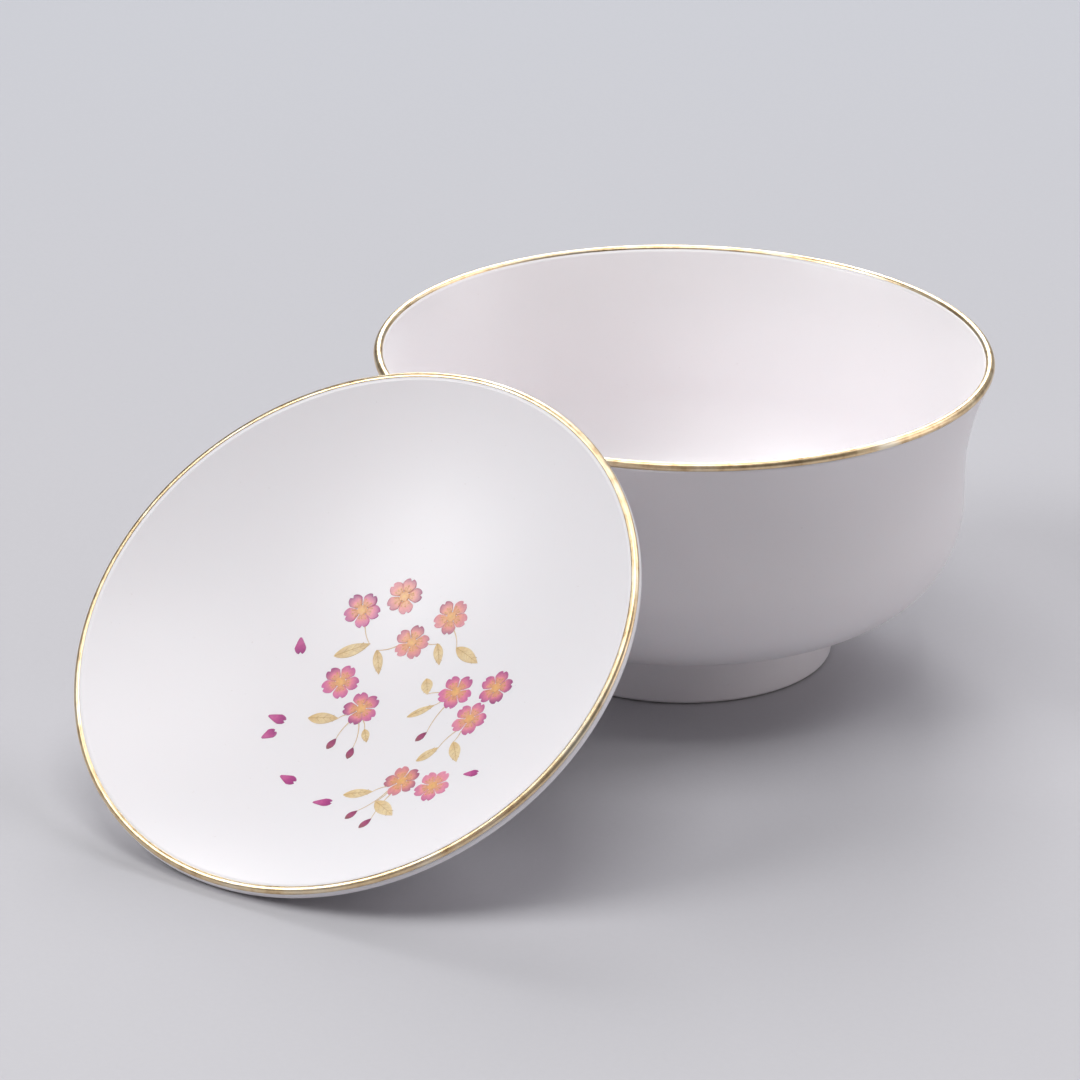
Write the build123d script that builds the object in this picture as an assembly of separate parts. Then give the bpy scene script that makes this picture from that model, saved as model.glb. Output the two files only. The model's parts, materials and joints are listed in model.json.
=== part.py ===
from build123d import *
import os
from math import asin, cos, degrees, radians, sin, sqrt, tan

# Lidded rice bowl: a flared bowl on a ring foot, and a shallow dish-shaped lid that lies
# inside up against the bowl's front. The origin is the centre of the foot ring on the table,
# +Z is up, and the lid leans on the -Y side.

# --- bowl, millimetres ---
mouth_radius = 60.0         # widest point, on the lip
bowl_height = 61.5
lip_radius = 0.95           # the lip is a full round, this radius in section
flare_angle = 25.7          # the wall's lean at the lip, degrees from vertical
waist_radius = 55.1         # outside of the upright part of the wall
wall_thickness = 2.8
belly_radius = 20.0         # outside corner between wall and underside
belly_height = 32.0
underside_slope = 20.0      # degrees from level
foot_radius = 30.3          # ring foot, outside at the table
foot_root_radius = 29.6
foot_wall = 2.9
foot_edge_round = 0.6
foot_root_round = 1.2
recess_edge_height = 7.4    # the hollow under the bowl, inside the ring foot
recess_centre_height = 4.9
recess_corner_round = 1.5

# --- lid, in its own frame: rim plane at z = 0, inside facing +Z ---
lid_radius = 55.6
lid_lip_radius = 0.9
dish_slope = 29.0           # the dish's slope at the lip, degrees from level
dish_thickness = 2.8
lid_shoulder_round = 1.2
grip_radius = 24.0          # the ring that the lid is lifted by
grip_root_radius = 23.2
grip_wall = 2.6
grip_depth = 23.0           # its edge, below the rim plane
grip_edge_round = 0.7
grip_root_round = 1.5

# --- coatings ---
gilding_thickness = 0.15    # gold on both lips
print_thickness = 0.12      # the blossom print inside the lid

# --- the lid as it lies: its lowest lip on the table, its back on the bowl's lip ---
lid_tilt = 39.0             # degrees from level
lid_centre = (-6.4, -100.9, 36.95)   # centre of its rim plane

# --- blossom print: places in the lid's own x and y, seen from inside the dish ---
blossom_size = 3.8          # from a blossom's centre to its petal tips
heart_share = 0.30          # the centre disc's radius as a share of that
petal_count = 5
# x, y and turn in degrees
blossoms = [
    (-8.8, 9.3, 5), (-1.8, 14.2, 16), (9.7, 12.7, 68), (4.1, 6.0, 18), (-5.6, -5.6, 10),
    (1.4, -9.6, 53), (18.8, -1.6, 62), (27.2, 0.6, 17), (25.2, -6.6, 6),
    (19.2, -22.4, 50), (26.6, -22.2, 69),
]
# x, y, length, width and turn in degrees
leaves = [
    (-6.8, 1.2, 7.4, 2.6, 39), (-0.6, 0.4, 5.6, 2.0, -57), (10.8, 5.0, 5.0, 2.0, -57),
    (17.0, 6.0, 6.8, 2.6, -19), (-4.6, -13.8, 6.1, 2.6, 18), (5.6, -14.8, 3.4, 1.6, -51),
    (12.0, -1.8, 3.8, 2.4, -57), (13.7, -7.0, 5.9, 1.6, 41), (20.8, -15.6, 5.0, 2.0, 53),
    (26.4, -14.0, 5.6, 2.4, -49), (12.2, -27.2, 6.0, 2.2, 23), (19.8, -29.2, 6.4, 2.8, -22),
]
buds = [
    (0.1, -18.4, 2.8, 1.5, 81), (4.9, -19.2, 2.8, 1.5, 99), (17.0, -12.2, 2.8, 1.4, 62),
    (14.2, -32.2, 2.8, 1.5, 64), (18.4, -33.4, 3.0, 1.5, 70),
]
loose_petals = [
    (-16.7, -1.3, 3.6, 2.2, -64), (-12.9, -16.9, 3.7, 2.2, 0), (-12.4, -20.6, 3.0, 2.2, 57),
    (-3.1, -28.4, 3.7, 2.2, -7), (6.7, -31.1, 3.9, 1.9, 17), (33.4, -18.2, 3.4, 1.6, 13),
]


def polar(centre, radius, angle):
    """The point at this radius and angle, in degrees, from a centre in the section plane."""
    x, y = centre
    return (x + radius * cos(radians(angle)), y + radius * sin(radians(angle)))


def section(*edges):
    """A closed section face: x is the radius and y the height."""
    return make_face(Curve() + list(edges))


def rounded(face, point, radius):
    """The face with the corner nearest to a point rounded."""
    corner = sorted(face.vertices(), key=lambda v: (v.X - point[0]) ** 2 + (v.Y - point[1]) ** 2)[0]
    return fillet(corner, radius)


def turned(face):
    """The solid of revolution about +Z of a section face."""
    return revolve(Plane.XZ * face, Axis.Z)


def lip_gilding(centre, radius, first, last):
    """The section of a thin gold coat round a lip, between two angles."""
    inner = radius - gilding_thickness
    return section(
        CenterArc(centre, radius, first, last - first),
        Line(polar(centre, radius, last), polar(centre, inner, last)),
        CenterArc(centre, inner, last, first - last),
        Line(polar(centre, inner, first), polar(centre, radius, first)),
    )


# ---------------------------------------------------------------- bowl
lip_centre = (mouth_radius - lip_radius, bowl_height - lip_radius)
lip_outer = polar(lip_centre, lip_radius, -flare_angle)
lip_inner = polar(lip_centre, lip_radius, 180 - flare_angle)
flare_turn = 1 - cos(radians(flare_angle))
outer_flare_radius = (lip_outer[0] - waist_radius) / flare_turn
outer_flare_foot = lip_outer[1] - outer_flare_radius * sin(radians(flare_angle))
inner_waist = waist_radius - wall_thickness
inner_flare_radius = (lip_inner[0] - inner_waist) / flare_turn
inner_flare_foot = lip_inner[1] - inner_flare_radius * sin(radians(flare_angle))

belly_centre = (waist_radius - belly_radius, belly_height)
belly_turn = 90 - underside_slope
belly_end = polar(belly_centre, belly_radius, -belly_turn)
inner_belly_radius = belly_radius - wall_thickness
inner_belly_end = polar(belly_centre, inner_belly_radius, -belly_turn)
bottom_radius = inner_belly_end[0] / sin(radians(underside_slope))
bottom_height = inner_belly_end[1] - bottom_radius * (1 - cos(radians(underside_slope)))
foot_top = belly_end[1] - (belly_end[0] - foot_root_radius) * tan(radians(underside_slope))
foot_inside = foot_radius - foot_wall
recess_radius = foot_root_radius - foot_wall


def bowl_section():
    recess_rise = recess_edge_height - recess_centre_height
    mid_radius = recess_radius / 2
    mid_height = recess_centre_height + recess_rise / 4
    face = section(
        Line((0, bottom_height), (0, recess_centre_height)),
        ThreePointArc(
            (0, recess_centre_height), (mid_radius, mid_height), (recess_radius, recess_edge_height)
        ),
        Line((recess_radius, recess_edge_height), (foot_inside, 0)),
        Line((foot_inside, 0), (foot_radius, 0)),
        Line((foot_radius, 0), (foot_root_radius, foot_top)),
        Line((foot_root_radius, foot_top), belly_end),
        CenterArc(belly_centre, belly_radius, -belly_turn, belly_turn),
        Line((waist_radius, belly_height), (waist_radius, outer_flare_foot)),
        CenterArc((waist_radius + outer_flare_radius, outer_flare_foot),
                  outer_flare_radius, 180, -flare_angle),
        CenterArc(lip_centre, lip_radius, -flare_angle, 180),
        CenterArc((inner_waist + inner_flare_radius, inner_flare_foot),
                  inner_flare_radius, 180 - flare_angle, flare_angle),
        Line((inner_waist, inner_flare_foot), (inner_waist, belly_height)),
        CenterArc(belly_centre, inner_belly_radius, 0, -belly_turn),
        CenterArc((0, bottom_height + bottom_radius), bottom_radius,
                  -90 + underside_slope, -underside_slope),
    )
    for point in ((foot_inside, 0), (foot_radius, 0)):
        face = rounded(face, point, foot_edge_round)
    face = rounded(face, (foot_root_radius, foot_top), foot_root_round)
    return rounded(face, (recess_radius, recess_edge_height), recess_corner_round)


bowl_gold = lip_gilding(lip_centre, lip_radius, -flare_angle, 180 - flare_angle)
nodes = {
    "bowl_body": turned(bowl_section() - bowl_gold),
    "bowl_rim_gilding": turned(bowl_gold),
}

# ---------------------------------------------------------------- lid
lid_lip_centre = (lid_radius - lid_lip_radius, -lid_lip_radius)
lid_lip_end = 90 + dish_slope
lid_lip_inner = polar(lid_lip_centre, lid_lip_radius, lid_lip_end)
dish_radius = lid_lip_inner[0] / sin(radians(dish_slope))
dish_centre_height = lid_lip_inner[1] + dish_radius * cos(radians(dish_slope))
back_radius = dish_radius + dish_thickness


def back_height(radius):
    """Height of the lid's domed back at a radius."""
    return dish_centre_height - sqrt(back_radius ** 2 - radius ** 2)


def lid_section():
    shoulder = (lid_radius, back_height(lid_radius))
    edge_angle = degrees(asin(lid_radius / back_radius))
    face = section(
        Line((0, dish_centre_height - dish_radius), (0, dish_centre_height - back_radius)),
        CenterArc((0, dish_centre_height), back_radius, -90, edge_angle),
        Line(shoulder, (lid_radius, -lid_lip_radius)),
        CenterArc(lid_lip_centre, lid_lip_radius, 0, lid_lip_end),
        CenterArc((0, dish_centre_height), dish_radius, -90 + dish_slope, -dish_slope),
    )
    return rounded(face, shoulder, lid_shoulder_round)


def grip_section():
    sunk = dish_thickness / 2
    inside = grip_radius - grip_wall
    root_inside = grip_root_radius - grip_wall
    outer_top = (grip_root_radius, back_height(grip_root_radius) + sunk)
    inner_top = (root_inside, back_height(root_inside) + sunk)
    face = section(
        Line(inner_top, (inside, -grip_depth)),
        Line((inside, -grip_depth), (grip_radius, -grip_depth)),
        Line((grip_radius, -grip_depth), outer_top),
        Line(outer_top, inner_top),
    )
    for point in ((inside, -grip_depth), (grip_radius, -grip_depth)):
        face = rounded(face, point, grip_edge_round)
    return face


lid_gold = lip_gilding(lid_lip_centre, lid_lip_radius, 0, lid_lip_end)
lid_profile = lid_section() + grip_section()
for root in (grip_root_radius, grip_root_radius - grip_wall):
    lid_profile = rounded(lid_profile, (root, back_height(root)), grip_root_round)

# ---------------------------------------------------------------- blossom print
print_skin = Pos(0, 0, dish_centre_height) * (Sphere(dish_radius) - Sphere(dish_radius - print_thickness))


def petal(length, width, start=0.0):
    """A notched petal along +X, from start to its tip."""
    tip, notch, half = (0.96 * length, 0.20 * width), (0.84 * length, 0), width / 2
    side = (start + 0.62 * (length - start), half)
    return section(
        ThreePointArc((start, 0), side, tip),
        Line(tip, notch),
        Line(notch, (tip[0], -tip[1])),
        ThreePointArc((tip[0], -tip[1]), (side[0], -half), (start, 0)),
    )


def leaf(length, width):
    """A pointed leaf or bud along +X, centred."""
    half = length / 2
    return section(
        ThreePointArc((-half, 0), (0, width / 2), (half, 0)),
        ThreePointArc((half, 0), (0, -width / 2), (-half, 0)),
    )


def printed(outlines):
    """Thin solids on the dish's surface under these outlines, one for each."""
    prisms = [extrude(outline, amount=-dish_radius / 2) for outline in outlines]
    return [solid for prism in prisms for solid in (prism & print_skin).solids()]


petals, hearts = [], []
for x, y, turn in blossoms:
    hearts.append(Pos(x, y) * Circle(heart_share * blossom_size - print_thickness))
    for index in range(petal_count):
        place = Pos(x, y) * Rot(0, 0, turn + index * 360 / petal_count)
        petals.append(place * petal(blossom_size, 0.66 * blossom_size, heart_share * blossom_size))

lid_nodes = {
    "lid_shell": [turned(lid_profile - lid_gold)],
    "lid_rim_gilding": [turned(lid_gold)],
    "blossom_petals_print": printed(petals),
    "blossom_hearts_print": printed(hearts),
    "leaves_print": printed([Pos(x, y) * Rot(0, 0, a) * leaf(n, w) for x, y, n, w, a in leaves]),
    "buds_print": printed([Pos(x, y) * Rot(0, 0, a) * leaf(n, w) for x, y, n, w, a in buds]),
    "loose_petals_print": printed(
        [Pos(x, y) * Rot(0, 0, a) * Pos(-n / 2, 0) * petal(n, w) for x, y, n, w, a in loose_petals]
    ),
}

lid_place = Pos(lid_centre) * Rot(lid_tilt, 0, 0)
for name, solids in lid_nodes.items():
    placed = [lid_place * solid for solid in solids]
    nodes[name] = placed[0] if len(placed) == 1 else Compound(children=placed)

os.makedirs("parts", exist_ok=True)
for name, shape in nodes.items():
    export_step(shape, f"parts/{name}.step")
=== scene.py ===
import bmesh
import bpy
import json
import math
import random
from mathutils import Matrix, Vector


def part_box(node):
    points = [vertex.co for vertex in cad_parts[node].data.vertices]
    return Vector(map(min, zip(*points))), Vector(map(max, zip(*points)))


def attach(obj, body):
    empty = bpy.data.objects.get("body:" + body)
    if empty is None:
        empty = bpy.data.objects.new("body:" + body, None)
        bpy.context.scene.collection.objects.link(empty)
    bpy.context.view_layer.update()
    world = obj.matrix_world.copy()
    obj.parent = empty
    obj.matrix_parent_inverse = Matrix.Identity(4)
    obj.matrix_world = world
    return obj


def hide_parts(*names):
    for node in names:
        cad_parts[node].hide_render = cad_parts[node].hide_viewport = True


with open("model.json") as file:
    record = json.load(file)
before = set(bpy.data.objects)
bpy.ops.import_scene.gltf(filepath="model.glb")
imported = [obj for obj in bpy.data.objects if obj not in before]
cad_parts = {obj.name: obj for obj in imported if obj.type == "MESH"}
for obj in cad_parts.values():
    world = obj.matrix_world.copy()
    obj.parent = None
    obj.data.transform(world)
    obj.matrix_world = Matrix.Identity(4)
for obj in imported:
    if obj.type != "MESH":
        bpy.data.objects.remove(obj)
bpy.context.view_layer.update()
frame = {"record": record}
scene = bpy.context.scene
MM = 0.001


# A glazed rice bowl with gold on its lip, and its loose lid, printed with blossoms inside,
# which leans on the bowl's front.

# ---------------------------------------------------------------- sizes, metres and degrees
# The bowl's and the lid's sections repeat the CAD's, so every surface lies where the CAD has it.
bowl_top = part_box("bowl_rim_gilding")[1]
mouth_radius = bowl_top[0]
bowl_height = bowl_top[2]
lip_radius = 0.95 * MM
flare_angle = 25.7
waist_radius = 55.1 * MM
wall_thickness = 2.8 * MM
belly_radius = 20.0 * MM
belly_height = 32.0 * MM
underside_slope = 20.0
foot_radius = 30.3 * MM
foot_root_radius = 29.6 * MM
foot_wall = 2.9 * MM
foot_edge_round = 0.6 * MM
foot_root_round = 1.2 * MM
recess_edge_height = 7.4 * MM
recess_centre_height = 4.9 * MM
recess_corner_round = 1.5 * MM

lid_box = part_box("lid_rim_gilding")
lid_radius = (lid_box[1][0] - lid_box[0][0]) / 2
lid_lip_radius = 0.9 * MM
dish_slope = 29.0
dish_thickness = 2.8 * MM
lid_shoulder_round = 1.2 * MM
grip_radius = 24.0 * MM
grip_root_radius = 23.2 * MM
grip_wall = 2.6 * MM
grip_depth = 23.0 * MM
grip_edge_round = 0.7 * MM
grip_root_round = 1.5 * MM

gold_thickness = 0.05 * MM
ink_height = 0.07 * MM
bare_edge = 0.12 * MM       # a foot or grip ring is unglazed this close to its edge
around = 288                # lathe steps round the axis
path_step = 0.7 * MM        # along a section
least_arc_steps = 8
corner_steps = 8
same_point = 1e-7           # points of a section closer than this are one

# The lid's own frame, from the mount on its grip ring: rim plane at z = 0, inside facing +Z.
grip_mount = next(m for m in frame["record"]["mounts"] if m["name"] == "lid_grip_ring")
lid_up = -Vector(grip_mount["axis"]).normalized()
lid_right = Vector((1, 0, 0))
lid_turn = Matrix((lid_right, lid_up.cross(lid_right), lid_up)).transposed().to_4x4()
lid_place = Matrix.Translation(Vector(grip_mount["pos_m"]) + lid_up * grip_depth) @ lid_turn


# ---------------------------------------------------------------- sections
def polar(centre, radius, angle):
    a = math.radians(angle)
    return (centre[0] + radius * math.cos(a), centre[1] + radius * math.sin(a))


def arc(centre, radius, first, last):
    """Points along an arc, both ends included, about a path step apart."""
    length = abs(math.radians(last - first)) * radius
    count = max(least_arc_steps, round(length / path_step))
    return [polar(centre, radius, first + (last - first) * i / count) for i in range(count + 1)]


def straight(start, end):
    """Points along a line, both ends included."""
    length = math.dist(start, end)
    count = max(1, round(length / path_step))
    mix = lambda i, k: start[k] + (end[k] - start[k]) * i / count
    return [(mix(i, 0), mix(i, 1)) for i in range(count + 1)]


def joined(*runs):
    """One path from runs that meet end to end."""
    path = []
    for run in runs:
        path += [p for p in run if not path or math.dist(p, path[-1]) > same_point]
    return path


def rounded(path, corner, radius):
    """The path with the corner at that point rounded."""
    at = min(range(len(path)), key=lambda i: math.dist(path[i], corner))
    point = Vector(path[at])
    before = (point - Vector(path[at - 1])).normalized()
    after = (Vector(path[at + 1]) - point).normalized()
    turn = before.angle(after)
    reach = radius * math.tan(turn / 2)
    head = [p for p in path[:at] if math.dist(p, point) > reach]
    tail = [p for p in path[at + 1:] if math.dist(p, point) > reach]
    start, end = point - before * reach, point + after * reach
    side = math.copysign(1, before.x * after.y - before.y * after.x)
    centre = start + Vector((-before.y, before.x)) * side * radius
    curve = []
    for i in range(corner_steps + 1):
        spoke = Matrix.Rotation(side * turn * i / corner_steps, 2) @ (start - centre)
        curve.append(tuple(centre + spoke))
    return head + curve + tail


def lathe(name, path, place=Matrix(), wobble=None):
    """A mesh of revolution about Z from a path of (radius, height) points.

    wobble(angle, index), where given, says the radius and height of that path point at an angle.
    """
    bm = bmesh.new()
    rings = []
    for index, (radius, height) in enumerate(path):
        if radius < same_point:
            rings.append([bm.verts.new((0, 0, height))])
            continue
        ring = []
        for k in range(around):
            a = 2 * math.pi * k / around
            r, z = wobble(a, index) if wobble else (radius, height)
            ring.append(bm.verts.new((r * math.cos(a), r * math.sin(a), z)))
        rings.append(ring)
    for low, high in zip(rings, rings[1:]):
        for k in range(around):
            n = (k + 1) % around
            if len(low) == 1:
                bm.faces.new((low[0], high[n], high[k]))
            elif len(high) == 1:
                bm.faces.new((low[k], low[n], high[0]))
            else:
                bm.faces.new((low[k], low[n], high[n], high[k]))
    return finished(name, bm, place)


def finished(name, bm, place=Matrix()):
    """The bmesh as a smooth-shaded object with its place in its mesh."""
    bmesh.ops.recalc_face_normals(bm, faces=bm.faces)
    bm.transform(place)
    mesh = bpy.data.meshes.new(name)
    bm.to_mesh(mesh)
    bm.free()
    mesh.polygons.foreach_set("use_smooth", [True] * len(mesh.polygons))
    obj = bpy.data.objects.new(name, mesh)
    scene.collection.objects.link(obj)
    return obj


def dress(obj, material, body, slot, *nodes):
    """Gives a piece its material and body, and hides the CAD nodes that it stands for; slot is not used."""
    obj.data.materials.append(material)
    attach(obj, body)
    if nodes:
        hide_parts(*nodes)
    return obj


# ---------------------------------------------------------------- materials
black = (0, 0, 0)
white = (1, 1, 1)


class Shader:
    """A material with short calls for its nodes."""

    def __init__(self, name, **inputs):
        self.material = bpy.data.materials.new(name)
        self.material.use_nodes = True
        self.tree = self.material.node_tree
        self.bsdf = self.tree.nodes["Principled BSDF"]
        for key, value in inputs.items():
            self.bsdf.inputs[key.replace("_", " ")].default_value = value
        self.coords = self.node("ShaderNodeTexCoord").outputs["Object"]

    def node(self, kind, **inputs):
        made = self.tree.nodes.new(kind)
        for key, value in inputs.items():
            made.inputs[key.replace("_", " ")].default_value = value
        return made

    def link(self, output, socket):
        self.tree.links.new(output, socket)

    def noise(self, scale, detail=3.0, roughness=0.5):
        made = self.node("ShaderNodeTexNoise", Scale=scale, Detail=detail, Roughness=roughness)
        self.link(self.coords, made.inputs["Vector"])
        return made.outputs["Fac"]

    def ramp(self, source, *stops):
        made = self.node("ShaderNodeValToRGB")
        elements = made.color_ramp.elements
        while len(elements) < len(stops):
            elements.new(0.5)
        for element, (position, color) in zip(elements, stops):
            element.position = position
            element.color = (*color, 1)
        self.link(source, made.inputs["Fac"])
        return made.outputs["Color"]

    def spread(self, source, low, high):
        made = self.node("ShaderNodeMapRange", To_Min=low, To_Max=high)
        self.link(source, made.inputs["Value"])
        return made.outputs["Result"]

    def mix(self, factor, first, second, blend="MIX"):
        made = self.tree.nodes.new("ShaderNodeMix")
        made.data_type = "RGBA"
        made.blend_type = blend
        sockets = (made.inputs["Factor"], made.inputs[6], made.inputs[7])
        for socket, value in zip(sockets, (factor, first, second)):
            if isinstance(value, bpy.types.NodeSocket):
                self.link(value, socket)
            else:
                socket.default_value = (*value, 1) if isinstance(value, tuple) else value
        return made.outputs[2]

    def bump(self, *layers):
        """Bumps stacked from (height output, strength, distance) layers."""
        normal = None
        for height, strength, distance in layers:
            made = self.node("ShaderNodeBump", Strength=strength, Distance=distance)
            self.link(height, made.inputs["Height"])
            if normal:
                self.link(normal, made.inputs["Normal"])
            normal = made.outputs["Normal"]
        self.link(normal, self.bsdf.inputs["Normal"])


def glaze(name, warm, cool, roughness):
    """Satin pearl-white glaze: faint pooling of tone, a softly uneven gloss, and tiny specks."""
    s = Shader(name, IOR=1.5, Coat_Weight=0.12, Coat_Roughness=0.28, Subsurface_Weight=0.05,
               Subsurface_Scale=0.004)
    s.bsdf.inputs["Subsurface Radius"].default_value = (1.0, 0.75, 0.7)
    tone = s.ramp(s.noise(14, 1), (0.2, warm), (0.8, cool))
    specks = s.ramp(s.noise(1500, 2), (0.22, (0.80, 0.76, 0.74)), (0.27, white))
    s.link(s.mix(0.35, tone, specks, "MULTIPLY"), s.bsdf.inputs["Base Color"])
    uneven = 0.03
    gloss = s.spread(s.noise(60, 1), roughness - uneven, roughness + uneven)
    s.link(gloss, s.bsdf.inputs["Roughness"])
    s.bump((s.noise(45, 0), 0.05, 0.0004), (s.noise(700, 1), 0.05, 0.00004))
    return s.material


def gold():
    """Fired gold laid on with a brush: pale and satin, streaked round the lip, thin in places."""
    s = Shader("fired_gold", Metallic=1.0)
    deep, middle, pale, worn = (
        (0.62, 0.42, 0.22), (0.86, 0.66, 0.40), (0.96, 0.82, 0.58), (0.97, 0.88, 0.70),
    )
    streaks = s.noise(420, 3, 0.6)
    tone = s.ramp(streaks, (0.25, deep), (0.5, middle), (0.8, pale))
    thin = s.ramp(s.noise(110, 2), (0.52, black), (0.74, white))
    s.link(s.mix(thin, tone, worn), s.bsdf.inputs["Base Color"])
    s.link(s.spread(streaks, 0.26, 0.46), s.bsdf.inputs["Roughness"])
    s.bump((s.noise(900, 2), 0.12, 0.00004))
    return s.material


def biscuit():
    """Bare fired clay where a foot was wiped clean of glaze."""
    s = Shader("bare_biscuit")
    grain = s.noise(1800, 4, 0.7)
    tone = s.ramp(grain, (0.3, (0.62, 0.57, 0.52)), (0.7, (0.80, 0.76, 0.71)))
    s.link(tone, s.bsdf.inputs["Base Color"])
    s.link(s.spread(grain, 0.75, 0.95), s.bsdf.inputs["Roughness"])
    s.bump((grain, 0.4, 0.0001))
    return s.material


def enamel(name, base, middle, edge, pale_edge=None):
    """Enamel ink whose tone runs from a shape's base, through its middle, to its edge.

    The "ink" attribute holds how far along its shape a point is, how near the rim, and a number
    that sets how much of the paler edge the shape has.
    """
    s = Shader(name, IOR=1.5, Coat_Weight=0.15, Coat_Roughness=0.12)
    ink = s.tree.nodes.new("ShaderNodeAttribute")
    ink.attribute_name = "ink"
    parts = s.tree.nodes.new("ShaderNodeSeparateColor")
    s.link(ink.outputs["Color"], parts.inputs["Color"])
    along, rim, chance = (parts.outputs[k] for k in ("Red", "Green", "Blue"))
    ends = s.mix(chance, edge, pale_edge or edge)
    tips = s.ramp(along, (0.45, black), (0.95, white))
    body = s.mix(tips, s.ramp(along, (0.10, base), (0.55, middle)), ends)
    outlined = s.mix(s.spread(rim, 0.0, 0.55), body, ends)
    grain = s.ramp(s.noise(1600, 3), (0.35, (0.88, 0.86, 0.88)), (0.65, white))
    s.link(s.mix(1.0, outlined, grain, "MULTIPLY"), s.bsdf.inputs["Base Color"])
    s.link(s.spread(s.noise(800, 2), 0.28, 0.42), s.bsdf.inputs["Roughness"])
    s.bump((s.noise(1200, 3), 0.12, 0.00004))
    return s.material


# ---------------------------------------------------------------- bowl
lip_centre = (mouth_radius - lip_radius, bowl_height - lip_radius)
lip_outer = polar(lip_centre, lip_radius, -flare_angle)
lip_inner = polar(lip_centre, lip_radius, 180 - flare_angle)
flare_turn = 1 - math.cos(math.radians(flare_angle))
outer_flare_radius = (lip_outer[0] - waist_radius) / flare_turn
outer_flare_foot = lip_outer[1] - outer_flare_radius * math.sin(math.radians(flare_angle))
inner_waist = waist_radius - wall_thickness
inner_flare_radius = (lip_inner[0] - inner_waist) / flare_turn
inner_flare_foot = lip_inner[1] - inner_flare_radius * math.sin(math.radians(flare_angle))
belly_centre = (waist_radius - belly_radius, belly_height)
belly_turn = 90 - underside_slope
belly_end = polar(belly_centre, belly_radius, -belly_turn)
inner_belly_radius = belly_radius - wall_thickness
inner_belly_end = polar(belly_centre, inner_belly_radius, -belly_turn)
bottom_radius = inner_belly_end[0] / math.sin(math.radians(underside_slope))
bottom_height = inner_belly_end[1] - bottom_radius * (1 - math.cos(math.radians(underside_slope)))
foot_top = belly_end[1] - (belly_end[0] - foot_root_radius) * math.tan(math.radians(underside_slope))
foot_inside = foot_radius - foot_wall
recess_radius = foot_root_radius - foot_wall


def bowl_paths():
    """The paths of the outer glaze, the bare edge of the foot and the hollow under the bowl."""
    flare_turned = 180 - flare_angle
    inner_flare_centre = (inner_waist + inner_flare_radius, inner_flare_foot)
    outer_flare_centre = (waist_radius + outer_flare_radius, outer_flare_foot)
    path = joined(
        arc((0, bottom_height + bottom_radius), bottom_radius, -90, -90 + underside_slope),
        arc(belly_centre, inner_belly_radius, -belly_turn, 0),
        straight((inner_waist, belly_height), (inner_waist, inner_flare_foot)),
        arc(inner_flare_centre, inner_flare_radius, 180, flare_turned),
        arc(lip_centre, lip_radius - gold_thickness, flare_turned, -flare_angle),
        arc(outer_flare_centre, outer_flare_radius, flare_turned, 180),
        straight((waist_radius, outer_flare_foot), (waist_radius, belly_height)),
        arc(belly_centre, belly_radius, 0, -belly_turn),
        straight(belly_end, (foot_root_radius, foot_top)),
        straight((foot_root_radius, foot_top), (foot_radius, 0)),
        straight((foot_radius, 0), (foot_inside, 0)),
        straight((foot_inside, 0), (recess_radius, recess_edge_height)),
        recess_ceiling(),
    )
    for corner, radius in (
        ((foot_root_radius, foot_top), foot_root_round),
        ((foot_radius, 0), foot_edge_round),
        ((foot_inside, 0), foot_edge_round),
        ((recess_radius, recess_edge_height), recess_corner_round),
    ):
        path = rounded(path, corner, radius)
    return split_at_edge(path, bare_edge)


def split_at_edge(path, height):
    """The path before, along and after its stretch that lies below a height."""
    edge = [i for i, p in enumerate(path) if p[1] < height]
    return path[:edge[0] + 1], path[edge[0]:edge[-1] + 1], path[edge[-1]:]


def recess_ceiling():
    """The gently bellied ceiling of the hollow under the bowl, from its edge to its middle."""
    rise = recess_edge_height - recess_centre_height
    radius = (recess_radius ** 2 + rise ** 2) / (2 * rise)
    edge = math.degrees(math.asin(recess_radius / radius))
    return arc((0, recess_centre_height + radius), radius, -90 + edge, -90)


brush_waves = (2, 3, 5, 8, 13, 21)      # ripples round a lip in the gold's edges
brush_phases = (0, 6.28)                # radians
brush_sizes = (0.6, 1.6)
brush_sway = 2.0                        # degrees round the lip's section
band_steps = 16                         # across the gold
band_edge_drop = 0.8                    # of its thickness, at its two edges
band_edge_power = 12                    # higher keeps that drop nearer to the edges


def gold_band(name, centre, radius, first, last, place=Matrix()):
    """A thin coat round a lip between two angles, its edges wavering as a brush does."""
    rng = random.Random(name)
    waves = [(n, rng.uniform(*brush_phases), rng.uniform(*brush_sizes) / math.sqrt(n)) for n in brush_waves]
    shares = [i / band_steps for i in range(band_steps + 1)]

    def spot(angle, index):
        sway = brush_sway * sum(size * math.sin(n * angle + phase) for n, phase, size in waves)
        share = shares[index]
        edge = (first - last) * share + last + sway * (1 - share) - sway * share
        drop = band_edge_drop * gold_thickness * (abs(2 * share - 1) ** band_edge_power)
        return polar(centre, radius - drop, edge)

    even = [polar(centre, radius, last + (first - last) * share) for share in shares]
    return lathe(name, even, place, spot)


pearl = glaze("pearl_white_glaze", (0.92, 0.885, 0.895), (0.91, 0.885, 0.905), 0.38)
lid_pearl = glaze("lid_pearl_white_glaze", (0.92, 0.89, 0.91), (0.91, 0.895, 0.92), 0.40)
gilt = gold()
clay = biscuit()

glazed, bare, hollow = bowl_paths()
dress(lathe("bowl_shell", glazed), pearl, "bowl", "bowl_glaze", "bowl_body")
dress(lathe("bowl_foot_band", bare), clay, "bowl", "bowl_glaze")
dress(lathe("bowl_foot_hollow", hollow), pearl, "bowl", "bowl_glaze")
dress(gold_band("bowl_gold_lip", lip_centre, lip_radius, -flare_angle, 180 - flare_angle),
      gilt, "bowl", "gold_rim", "bowl_rim_gilding")

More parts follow.
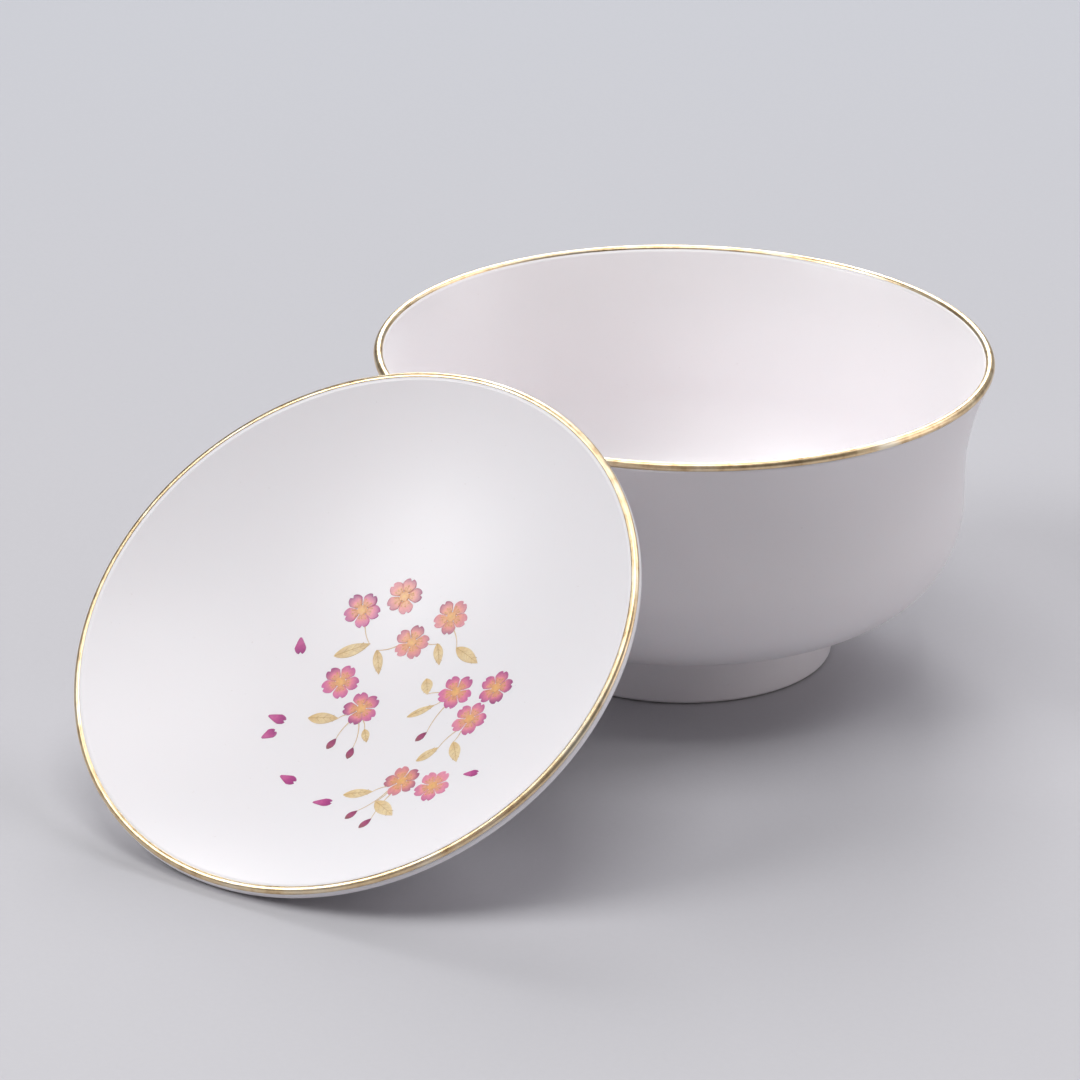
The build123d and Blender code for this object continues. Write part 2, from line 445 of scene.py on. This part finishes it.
# ---------------------------------------------------------------- lid
lid_lip_centre = (lid_radius - lid_lip_radius, -lid_lip_radius)
lid_lip_end = 90 + dish_slope
lid_lip_inner = polar(lid_lip_centre, lid_lip_radius, lid_lip_end)
dish_radius = lid_lip_inner[0] / math.sin(math.radians(dish_slope))
dish_centre_height = lid_lip_inner[1] + dish_radius * math.cos(math.radians(dish_slope))
dish_centre = (0, dish_centre_height)
back_radius = dish_radius + dish_thickness


def back_angle(radius):
    """The angle on the back's arc, in degrees, at a radius from the lid's axis."""
    return -90 + math.degrees(math.asin(radius / back_radius))


def lid_paths():
    """The paths of the outer glaze, the bare edge of the grip ring and the hollow inside it."""
    shoulder = polar(dish_centre, back_radius, back_angle(lid_radius))
    grip_outer = polar(dish_centre, back_radius, back_angle(grip_root_radius))
    grip_inner = polar(dish_centre, back_radius, back_angle(grip_root_radius - grip_wall))
    grip_inside = grip_radius - grip_wall
    path = joined(
        arc(dish_centre, dish_radius, -90, -90 + dish_slope),
        arc(lid_lip_centre, lid_lip_radius - gold_thickness, lid_lip_end, 0),
        straight((lid_radius, -lid_lip_radius), shoulder),
        arc(dish_centre, back_radius, back_angle(lid_radius), back_angle(grip_root_radius)),
        straight(grip_outer, (grip_radius, -grip_depth)),
        straight((grip_radius, -grip_depth), (grip_inside, -grip_depth)),
        straight((grip_inside, -grip_depth), grip_inner),
        arc(dish_centre, back_radius, back_angle(grip_root_radius - grip_wall), -90),
    )
    for corner, radius in (
        (shoulder, lid_shoulder_round),
        (grip_outer, grip_root_round),
        ((grip_radius, -grip_depth), grip_edge_round),
        ((grip_inside, -grip_depth), grip_edge_round),
        (grip_inner, grip_root_round),
    ):
        path = rounded(path, corner, radius)
    return split_at_edge(path, -grip_depth + bare_edge)


glazed, bare, hollow = lid_paths()
dress(lathe("lid_dish", glazed, lid_place), lid_pearl, "lid", "lid_glaze", "lid_shell")
dress(lathe("lid_grip_band", bare, lid_place), clay, "lid", "lid_glaze")
dress(lathe("lid_grip_hollow", hollow, lid_place), lid_pearl, "lid", "lid_glaze")
dress(gold_band("lid_gold_lip", lid_lip_centre, lid_lip_radius, 0, lid_lip_end, lid_place),
      gilt, "lid", "gold_rim", "lid_rim_gilding")

# ---------------------------------------------------------------- blossom print
# Places are in the lid's own x and y, millimetres, as the CAD has them. They were measured by another
# program, not worked out by a rule, and are still to be put right.
blossom_size = 3.8
heart_share = 0.30
petal_count = 5
# x, y, turn in degrees, and ink
blossoms = [
    (-8.8, 9.3, 5, "magenta"), (-1.8, 14.2, 16, "salmon"), (9.7, 12.7, 68, "salmon"),
    (4.1, 6.0, 18, "salmon"), (-5.6, -5.6, 10, "magenta"), (1.4, -9.6, 53, "magenta"),
    (18.8, -1.6, 62, "magenta"), (27.2, 0.6, 17, "magenta"), (25.2, -6.6, 6, "pink"),
    (19.2, -22.4, 50, "salmon"), (26.6, -22.2, 69, "pink"),
]
# x, y, length, width and turn in degrees
leaves = [
    (-6.8, 1.2, 7.4, 2.6, 39), (-0.6, 0.4, 5.6, 2.0, -57), (10.8, 5.0, 5.0, 2.0, -57),
    (17.0, 6.0, 6.8, 2.6, -19), (-4.6, -13.8, 6.1, 2.6, 18), (5.6, -14.8, 3.4, 1.6, -51),
    (12.0, -1.8, 3.8, 2.4, -57), (13.7, -7.0, 5.9, 1.6, 41), (20.8, -15.6, 5.0, 2.0, 53),
    (26.4, -14.0, 5.6, 2.4, -49), (12.2, -27.2, 6.0, 2.2, 23), (19.8, -29.2, 6.4, 2.8, -22),
]
buds = [
    (0.1, -18.4, 2.8, 1.5, 81), (4.9, -19.2, 2.8, 1.5, 99), (17.0, -12.2, 2.8, 1.4, 62),
    (14.2, -32.2, 2.8, 1.5, 64), (18.4, -33.4, 3.0, 1.5, 70),
]
loose_petals = [
    (-16.7, -1.3, 3.6, 2.2, -64), (-12.9, -16.9, 3.7, 2.2, 0), (-12.4, -20.6, 3.0, 2.2, 57),
    (-3.1, -28.4, 3.7, 2.2, -7), (6.7, -31.1, 3.9, 1.9, 17), (33.4, -18.2, 3.4, 1.6, 13),
]
# the blossom that each leaf and each bud hangs from, by its place in blossoms
leaf_blossoms = [0, 3, 3, 2, 5, 5, 6, 6, 8, 8, 9, 9]
bud_blossoms = [5, 5, 6, 9, 9]
petal_width = 0.80          # of the blossom's size
petal_heart = 0.6           # where a petal's patch has its middle, of its length
loose_petal_heart = 0.55
petal_tuck = 0.8            # of the heart's radius, where petals start under it
petal_base_angle = 34       # half the angle that a petal's base fills, degrees
notch_depth = 0.87          # where the notch ends, of a petal's length
stem_width = 0.26
stem_bow = 0.13             # of the stem's length, to one side and the other by turns
stamen_width = 0.10
stamen_dot = 0.13
stamen_fan = (-20, 0, 20)   # degrees from a petal's middle
midrib_width = 0.16
side_rib_width = 0.09
side_rib_roots = (-0.22, 0.0, 0.20)     # of a leaf's length, from its middle
rim_start = 0.55            # of a patch's outline, where its rim begins to show
# outline's scale, and height as a share of ink_height, from under a patch's edge to its top
patch_levels = [
    (1.0, -0.8), (1.0, 0.0), (0.965, 0.7), (0.88, 1.0), (0.70, 1.0), (0.45, 1.0), (0.22, 1.0),
]
# place across as a share of half the width, and height as a share of ink_height
line_section = [(-1, -0.6), (-0.8, 0.5), (0, 0.8), (0.8, 0.5), (1, -0.6)]
line_taper = 0.45           # of its width, lost by the end
print_seed = 11


def on_dish(x, y, height):
    """The point of the dish over x and y in millimetres, raised by a height in metres."""
    x, y = x * MM, y * MM
    radius = dish_radius - height
    return Vector((x, y, dish_centre_height - math.sqrt(radius ** 2 - x * x - y * y)))


class Print:
    """One sheet of ink patches on the dish, built up into a single mesh."""

    def __init__(self, base=0.0):
        self.bm = bmesh.new()
        self.ink = self.bm.verts.layers.float_color.new("ink")
        self.base = base

    def vert(self, place, x, y, height, along, rim, chance):
        px, py = place(x, y)
        v = self.bm.verts.new(on_dish(px, py, self.base + height))
        v[self.ink] = (along, rim, chance, 1)
        return v

    def patch(self, outline, heart, place, along, chance):
        """A raised patch with a soft edge. outline runs round it; along(x, y) is 0 to 1."""
        rings = []
        for scale, lift in patch_levels:
            ring = []
            for x, y in outline:
                sx, sy = heart[0] + (x - heart[0]) * scale, heart[1] + (y - heart[1]) * scale
                rim = max(0.0, (scale - rim_start) / (1 - rim_start)) ** 2
                ring.append(self.vert(place, sx, sy, lift * ink_height, along(sx, sy), rim, chance))
            rings.append(ring)
        top = self.vert(place, *heart, ink_height, along(*heart), 0, chance)
        under = self.vert(place, *heart, patch_levels[0][1] * ink_height, along(*heart), 0, chance)
        count = len(outline)
        for k in range(count):
            n = (k + 1) % count
            for low, high in zip(rings, rings[1:]):
                self.bm.faces.new((low[k], low[n], high[n], high[k]))
            self.bm.faces.new((rings[-1][k], rings[-1][n], top))
            self.bm.faces.new((rings[0][n], rings[0][k], under))

    def line(self, points, width, place, chance, along=0.5):
        """A thin raised line through points, tapering a little to its end."""
        rows = []
        last = len(points) - 1
        for i, (x, y) in enumerate(points):
            ahead = Vector(points[min(i + 1, last)]) - Vector(points[max(i - 1, 0)])
            side = Vector((-ahead.y, ahead.x)).normalized() * width / 2 * (1 - line_taper * i / last)
            row = []
            for across, lift in line_section:
                row.append(self.vert(place, x + side.x * across, y + side.y * across,
                                     lift * ink_height, along, 0.3, chance))
            rows.append(row)
        for low, high in zip(rows, rows[1:]):
            for k in range(len(low)):
                n = (k + 1) % len(low)
                self.bm.faces.new((low[k], low[n], high[n], high[k]))
        self.bm.faces.new(rows[0][::-1])
        self.bm.faces.new(rows[-1])

    def done(self, name, material, slot, *nodes):
        return dress(finished(name, self.bm, lid_place), material, "lid", slot, *nodes)


def placed(x, y, turn, start=0.0):
    """A function that turns and moves a patch's own x and y to the dish's."""
    a = math.radians(turn)
    c, s = math.cos(a), math.sin(a)
    return lambda u, v: (x + (u + start) * c - v * s, y + (u + start) * s + v * c)


def petal_outline(length, width, start, rng):
    """A notched petal along +X, widening evenly to its shoulders, with softly uneven sides."""
    sway = rng.uniform(-0.05, 0.05)
    shoulder = 0.60 * length
    neck = start * math.tan(math.radians(petal_base_angle)) if start else 0.08 * width
    side = []
    for i in range(7):
        t = i / 7
        side.append((start + (shoulder - start) * t, neck + (width / 2 - neck) * t ** 0.85))
    for i in range(10):
        a = math.radians(84 * i / 9)
        x = shoulder + (0.985 * length - shoulder) * math.sin(a)
        side.append((x, width / 2 * (0.18 + 0.82 * math.cos(a))))
    notch = (notch_depth * length, 0)
    upper = [(x, y * (1 + sway)) for x, y in side]
    lower = [(x, -y * (1 - sway)) for x, y in reversed(side)]
    return upper + [notch] + lower


def leaf_outline(length, width):
    """A pointed oval along +X, fuller towards its base."""
    steps = 16
    half = []
    for i in range(1, steps):
        t = i / steps
        half.append((length * (t - 0.5), width / 2 * math.sin(math.pi * t ** 0.85) ** 0.9))
    return [(-length / 2, 0), *half, (length / 2, 0), *[(x, -y) for x, y in reversed(half)]]


def round_outline(radius, lobes, depth, steps=30):
    """A round outline with shallow lobes."""
    spots = []
    for i in range(steps):
        a = 2 * math.pi * i / steps
        spots.append(polar((0, 0), radius * (1 + depth * math.cos(lobes * a)), math.degrees(a)))
    return spots


def curve_points(start, bend, end, steps=14):
    """Points along a quadratic curve."""
    spots = []
    for i in range(steps + 1):
        t = i / steps
        weights = ((1 - t) ** 2, 2 * t * (1 - t), t * t)
        spots.append(tuple(sum(w * p[k] for w, p in zip(weights, (start, bend, end))) for k in (0, 1)))
    return spots


def stem_points(piece, blossom, bow):
    """A bowed stem from a blossom's edge to the near end of a leaf or bud."""
    x, y, length, _, turn = piece
    reach = Matrix.Rotation(math.radians(turn), 2) @ Vector((0.47 * length, 0))
    centre, heart = Vector((x, y)), Vector(blossom[:2])
    end = min(centre + reach, centre - reach, key=lambda p: (p - heart).length)
    start = heart + (end - heart).normalized() * 0.75 * blossom_size
    span = end - start
    bend = (start + end) / 2 + Vector((-span.y, span.x)) * bow
    return curve_points(start, bend, end)


# each ink's base, middle and edge, and the paler edge that some of its shapes have
ink_colors = {
    "salmon": ((0.94, 0.50, 0.25), (0.90, 0.37, 0.32), (0.42, 0.13, 0.24), (0.86, 0.34, 0.40)),
    "magenta": ((0.94, 0.48, 0.24), (0.88, 0.29, 0.40), (0.32, 0.07, 0.22), (0.78, 0.20, 0.46)),
    "pink": ((0.93, 0.50, 0.28), (0.92, 0.34, 0.42), (0.58, 0.13, 0.34), (0.90, 0.36, 0.50)),
    "heart": ((0.94, 0.56, 0.20), (0.94, 0.50, 0.23), (0.92, 0.46, 0.24)),
    "stamen": ((0.92, 0.62, 0.24), (0.90, 0.58, 0.22), (0.78, 0.44, 0.16)),
    "leaf": ((0.82, 0.58, 0.28), (0.93, 0.76, 0.46), (0.76, 0.54, 0.28), (0.90, 0.70, 0.40)),
    "rib": ((0.66, 0.42, 0.18), (0.68, 0.46, 0.20), (0.62, 0.40, 0.16)),
    "stem": ((0.78, 0.56, 0.32), (0.80, 0.60, 0.36), (0.74, 0.52, 0.30)),
    "bud": ((0.38, 0.14, 0.15), (0.48, 0.09, 0.23), (0.27, 0.06, 0.13)),
    "drift": ((0.66, 0.16, 0.38), (0.60, 0.10, 0.32), (0.40, 0.05, 0.24)),
}
inks = {name: enamel(f"ink_{name}", *colors) for name, colors in ink_colors.items()}


def share_along(length, offset=0.0):
    """How far along a shape of this length a point is, 0 to 1."""
    return lambda u, v: min(1, max(0, u / length + offset))


def print_blossoms(rng):
    petals = {"salmon": Print(), "magenta": Print(), "pink": Print()}
    hearts, stamens = Print(0.5 * ink_height), Print(0.9 * ink_height)
    start = heart_share * blossom_size * petal_tuck
    for x, y, turn, ink in blossoms:
        size = blossom_size * rng.uniform(0.96, 1.0)
        for k in range(petal_count):
            lean = turn + k * 360 / petal_count + rng.uniform(-3, 3)
            outline = petal_outline(size, petal_width * size, start, rng)
            along = lambda u, v: min(1, max(0, (math.hypot(u, v) - start) / (size - start)))
            heart = (petal_heart * size, 0)
            petals[ink].patch(outline, heart, placed(x, y, lean), along, rng.random())
            add_stamens(stamens, x, y, lean, size, rng)
        outline = round_outline(heart_share * size * 0.95, petal_count, 0.10)
        outward = lambda u, v: math.hypot(u, v) / 1.2
        hearts.patch(outline, (0, 0), placed(x, y, turn), outward, rng.random())
    for ink, sheet in petals.items():
        replaced = ("blossom_petals_print",) if ink == "salmon" else ()
        sheet.done(f"blossom_petals_{ink}", inks[ink], "petal_pink", *replaced)
    hearts.done("blossom_hearts", inks["heart"], "heart_gold", "blossom_hearts_print")
    stamens.done("blossom_stamens", inks["stamen"], "heart_gold")


def add_stamens(sheet, x, y, lean, size, rng):
    """A fan of threads along one petal, each with a dot at its end."""
    for off in stamen_fan:
        reach = size * rng.uniform(0.44, 0.58)
        thread = placed(x, y, lean + off + rng.uniform(-4, 4))
        sheet.line([(0.15 * size, 0), (0.3 * size, 0.02), (reach, 0)], stamen_width, thread, 0.2)
        dot = lambda u, v: thread(u + reach, v)
        sheet.patch(round_outline(stamen_dot, 3, 0.05, 12), (0, 0), dot, lambda u, v: 1, 0.2)


def print_leaves(rng):
    green, ribs, twigs = Print(), Print(0.6 * ink_height), Print()
    for x, y, length, width, turn in leaves:
        place = placed(x, y, turn)
        along = share_along(length, 0.5)
        green.patch(leaf_outline(length, width), (0, 0), place, along, rng.random())
        midrib = curve_points((-0.46 * length, 0), (0, 0.03 * length), (0.40 * length, 0))
        ribs.line(midrib, midrib_width, place, 0.1)
        for share in side_rib_roots:
            for side in (-1, 1):
                root = (share * length, 0.01 * length)
                tip = (root[0] + 0.14 * length, side * 0.30 * width)
                bend = ((root[0] + tip[0]) / 2, 0.6 * tip[1])
                ribs.line(curve_points(root, bend, tip, 5), side_rib_width, place, 0.1)
    hung = [*zip(leaves, leaf_blossoms), *zip(buds, bud_blossoms)]
    for number, (piece, blossom) in enumerate(hung):
        bow = stem_bow if number % 2 else -stem_bow
        twigs.line(stem_points(piece, blossoms[blossom], bow), stem_width, lambda u, v: (u, v), 0.1)
    green.done("leaves", inks["leaf"], "leaf_gold", "leaves_print")
    ribs.done("leaf_ribs", inks["rib"], "leaf_gold")
    twigs.done("stems", inks["stem"], "leaf_gold")


def print_buds(rng):
    dark = Print()
    for x, y, length, width, turn in buds:
        place = placed(x, y, turn)
        dark.patch(leaf_outline(length, width), (0, 0), place, share_along(length, 0.5), rng.random() * 0.3)
    dark.done("buds", inks["bud"], "bud_magenta", "buds_print")


def print_loose_petals(rng):
    drifting = Print()
    for x, y, length, width, turn in loose_petals:
        place = placed(x, y, turn, -length / 2)
        outline = petal_outline(length, width, 0, rng)
        drifting.patch(outline, (loose_petal_heart * length, 0), place, share_along(length), 0.2)
    drifting.done("loose_petals", inks["drift"], "petal_magenta", "loose_petals_print")


draws = random.Random(print_seed)
print_blossoms(draws)
print_leaves(draws)
print_buds(draws)
print_loose_petals(draws)

# ---------------------------------------------------------------- camera, as the bowl was seen
view_azimuth = math.radians(33.9)
view_elevation = math.radians(22.55)
view_distance = 1.253
view_roll = math.radians(0.85)
aim = Vector((0, 0, 0.030))
slide_left, slide_down = 0.0273, 0.00815    # the camera stands this far off its aim
sensor_width = 36.0                         # millimetres, as the lens is
lens = 214.1

ca, sa = math.cos(view_azimuth), math.sin(view_azimuth)
ce, se = math.cos(view_elevation), math.sin(view_elevation)
back = Vector((sa * ce, -ca * ce, se))
right = Vector((ca, sa, 0))
up = back.cross(right)
camera = bpy.data.objects.new("camera", bpy.data.cameras.new("camera"))
scene.collection.objects.link(camera)
camera.data.sensor_width = sensor_width
camera.data.lens = lens
camera.data.clip_start, camera.data.clip_end = 0.05, 20
turned = Matrix((right, up, back)).transposed() @ Matrix.Rotation(view_roll, 3, "Z")
camera.matrix_world = Matrix.Translation(
    aim + back * view_distance - right * slide_left - up * slide_down) @ turned.to_4x4()
scene.camera = camera


# ---------------------------------------------------------------- floor and light
floor_reach = 6.0           # from its middle to its sides
floor_drop = 0.0002         # keeps it clear of the foot's edge
fade_near, fade_far = -0.20, 0.45       # away from the camera, where the floor's painted shade changes
front = 34                  # the camera's side, in whole degrees of azimuth
light_distance = 2.0
light_aim = Vector((0, -0.04, 0.03))


def floor():
    """Pale paper, with painted shade that darkens it a little away from the camera's side."""
    s = Shader("pale_paper", Roughness=0.9)
    fade = s.node("ShaderNodeVectorRotate", Angle=-view_azimuth)
    s.link(s.coords, fade.inputs["Vector"])
    depth = s.tree.nodes.new("ShaderNodeSeparateXYZ")
    s.link(fade.outputs["Vector"], depth.inputs["Vector"])
    away = s.node("ShaderNodeMapRange", From_Min=fade_near, From_Max=fade_far)
    s.link(depth.outputs["Y"], away.inputs["Value"])
    # painted shade: the floor's colour darkens away from the camera in place of the light falling off
    painted_falloff_ramp = s.ramp(away.outputs["Result"], (0.0, (0.54, 0.535, 0.56)), (0.4, (0.49, 0.485, 0.51)),
                   (1.0, (0.455, 0.465, 0.50)))
    fibres = s.ramp(s.noise(900, 3), (0.3, (0.985, 0.985, 0.985)), (0.7, white))
    s.link(s.mix(1.0, painted_falloff_ramp, fibres, "MULTIPLY"), s.bsdf.inputs["Base Color"])
    bm = bmesh.new()
    bmesh.ops.create_grid(bm, x_segments=8, y_segments=8, size=floor_reach)
    obj = finished("floor", bm, Matrix.Translation((0, 0, -floor_drop)))
    obj.data.materials.append(s.material)


def area_light(name, azimuth, elevation, size, power, color=white):
    """A square soft light on a sphere round the object; azimuth is turned as the camera's is."""
    a, e = math.radians(azimuth), math.radians(elevation)
    way = Vector((math.sin(a) * math.cos(e), -math.cos(a) * math.cos(e), math.sin(e)))
    light = bpy.data.lights.new(name, "AREA")
    light.shape, light.size, light.energy, light.color = "SQUARE", size, power, color
    obj = bpy.data.objects.new(name, light)
    scene.collection.objects.link(obj)
    obj.location = light_aim + way * light_distance
    obj.rotation_mode = "QUATERNION"
    obj.rotation_quaternion = (-way).to_track_quat("-Z", "Y")


floor()
# front + 90 is to the camera's right and front + 180 is behind the bowl.
area_light("left_softbox", front - 75, 42, 0.9, 18.0)
area_light("top_softbox", front, 88, 1.2, 16.5)
area_light("back_softbox", front + 180, 33, 0.8, 19.0)
area_light("right_back_softbox", front + 120, 45, 1.0, 9.5, (0.97, 0.96, 1.0))
area_light("right_low_fill", front + 92, 13, 1.0, 6.5, (1.0, 0.95, 0.96))
area_light("front_fill", front - 5, 25, 1.2, 1.6, (1.0, 0.82, 0.84))
world = bpy.data.worlds.new("studio")
world.use_nodes = True
world.node_tree.nodes["Background"].inputs["Color"].default_value = (0.93, 0.95, 1.0, 1)
world.node_tree.nodes["Background"].inputs["Strength"].default_value = 0.10
scene.world = world
scene.view_settings.view_transform = "Standard"
